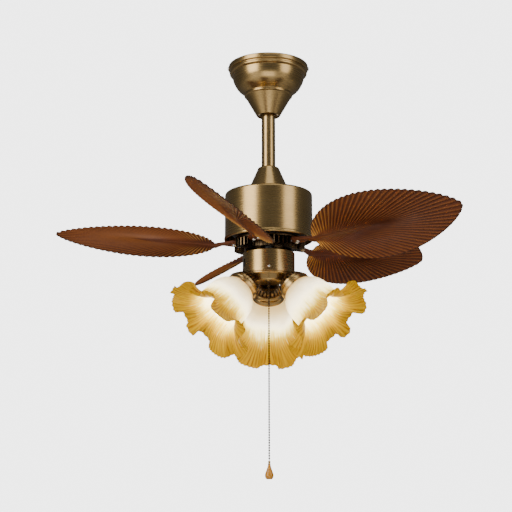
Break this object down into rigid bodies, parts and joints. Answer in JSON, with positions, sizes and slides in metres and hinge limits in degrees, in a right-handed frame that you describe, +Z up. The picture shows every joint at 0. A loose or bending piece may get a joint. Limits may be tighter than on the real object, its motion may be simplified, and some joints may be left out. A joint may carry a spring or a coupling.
{
  "type": "ceiling fan with light",
  "caption": "Ceiling fan with palm-leaf blades, an antique brass motor on a downrod, and a light kit of bell-shaped frosted glass shades with a pull chain.",
  "frame": {"origin": "centre of the ceiling bracket's two screw holes, on the ceiling plane", "axes": "+Z up, out of the ceiling bracket's top face; -Y is the front, the side the reversing switch and the chain are seen from"},
  "size_m": [0.7423, 0.7746, 0.802],
  "materials": {
    "antique_brass": "brushed and lacquered, antique",
    "dark_bronze": "satin dark bronze",
    "leaf_plastic": "moulded, wood-brown with a palm-leaf grain",
    "frosted_glass": "frosted, amber towards the rim",
    "bulb_glass": "soft white, lit",
    "bright_steel": "bright plated",
    "brass_screw": "polished",
    "zinc_steel": "zinc plated",
    "cast_alloy": "as cast",
    "core_steel": "laminated",
    "copper_wire": "enamelled copper wire",
    "black_plastic": "moulded",
    "white_ceramic": "glazed",
    "chain_bronze": "dark antique",
    "amber_resin": "glossy"
  },
  "bodies": {
    "ceiling": {"hanger_bracket": "zinc_steel", "canopy": "antique_brass", "canopy_ring": "antique_brass", "canopy_ring_screws": "bright_steel", "canopy_side_screws": "antique_brass"},
    "hung": {"bulb_1": "bulb_glass", "bulb_2": "bulb_glass", "bulb_3": "bulb_glass", "capacitor": "black_plastic", "chain_bushing": "antique_brass", "cross_pins": "bright_steel", "downrod": "antique_brass", "fitter_bowl": "antique_brass", "hanger_ball": "black_plastic", "lamp_cap_1": "dark_bronze", "lamp_cap_2": "dark_bronze", "lamp_cap_3": "dark_bronze", "lamp_nipples": "bright_steel", "motor_housing": "antique_brass", "motor_shaft": "zinc_steel", "pull_switch": "black_plastic", "reverse_switch_body": "black_plastic", "shade_1": "frosted_glass", "shade_2": "frosted_glass", "shade_3": "frosted_glass", "shade_holder_1": "antique_brass", "shade_holder_2": "antique_brass", "shade_holder_3": "antique_brass", "shaft_nut": "bright_steel", "socket_1": "white_ceramic", "socket_2": "white_ceramic", "socket_3": "white_ceramic", "stator_core": "core_steel", "stator_windings": "copper_wire", "switch_carrier": "zinc_steel", "switch_housing": "antique_brass", "switch_housing_screws": "bright_steel", "thumb_screws": "brass_screw", "yoke": "cast_alloy", "yoke_cover": "antique_brass", "yoke_screws": "bright_steel"},
    "rotor": {"bearing_upper": "zinc_steel", "bearing_lower": "zinc_steel", "rotor_upper_shell": "cast_alloy", "rotor_lower_shell": "cast_alloy", "rotor_cage": "cast_alloy", "flywheel": "dark_bronze", "blade_1": "leaf_plastic", "blade_2": "leaf_plastic", "blade_3": "leaf_plastic", "blade_4": "leaf_plastic", "blade_5": "leaf_plastic", "blade_screws": "bright_steel"},
    "pull": {"pull_chain": "chain_bronze", "chain_connector": "chain_bronze", "pull_knob": "amber_resin"},
    "reverse": {"reverse_switch_slider": "black_plastic"}
  },
  "joints": [
    {"name": "hanger_sway", "type": "hinge", "parent": "ceiling", "child": "hung", "pos_m": [0, 0, -0.044], "axis": [1, 0, 0], "range_deg": [-1.5, 1.5]},
    {"name": "blade_spin", "type": "hinge", "parent": "hung", "child": "rotor", "pos_m": [0, 0, -0.362], "axis": [0, 0, 1], "continuous": true},
    {"name": "chain_pull", "type": "slide", "parent": "hung", "child": "pull", "axis": [0, 0, -1], "range_m": [0, 0.01], "stiffness_N_per_m": 300, "springref_m": -0.003},
    {"name": "reverse_slide", "type": "slide", "parent": "hung", "child": "reverse", "axis": [0, 0, 1], "range_m": [0, 0.006]}
  ]
}
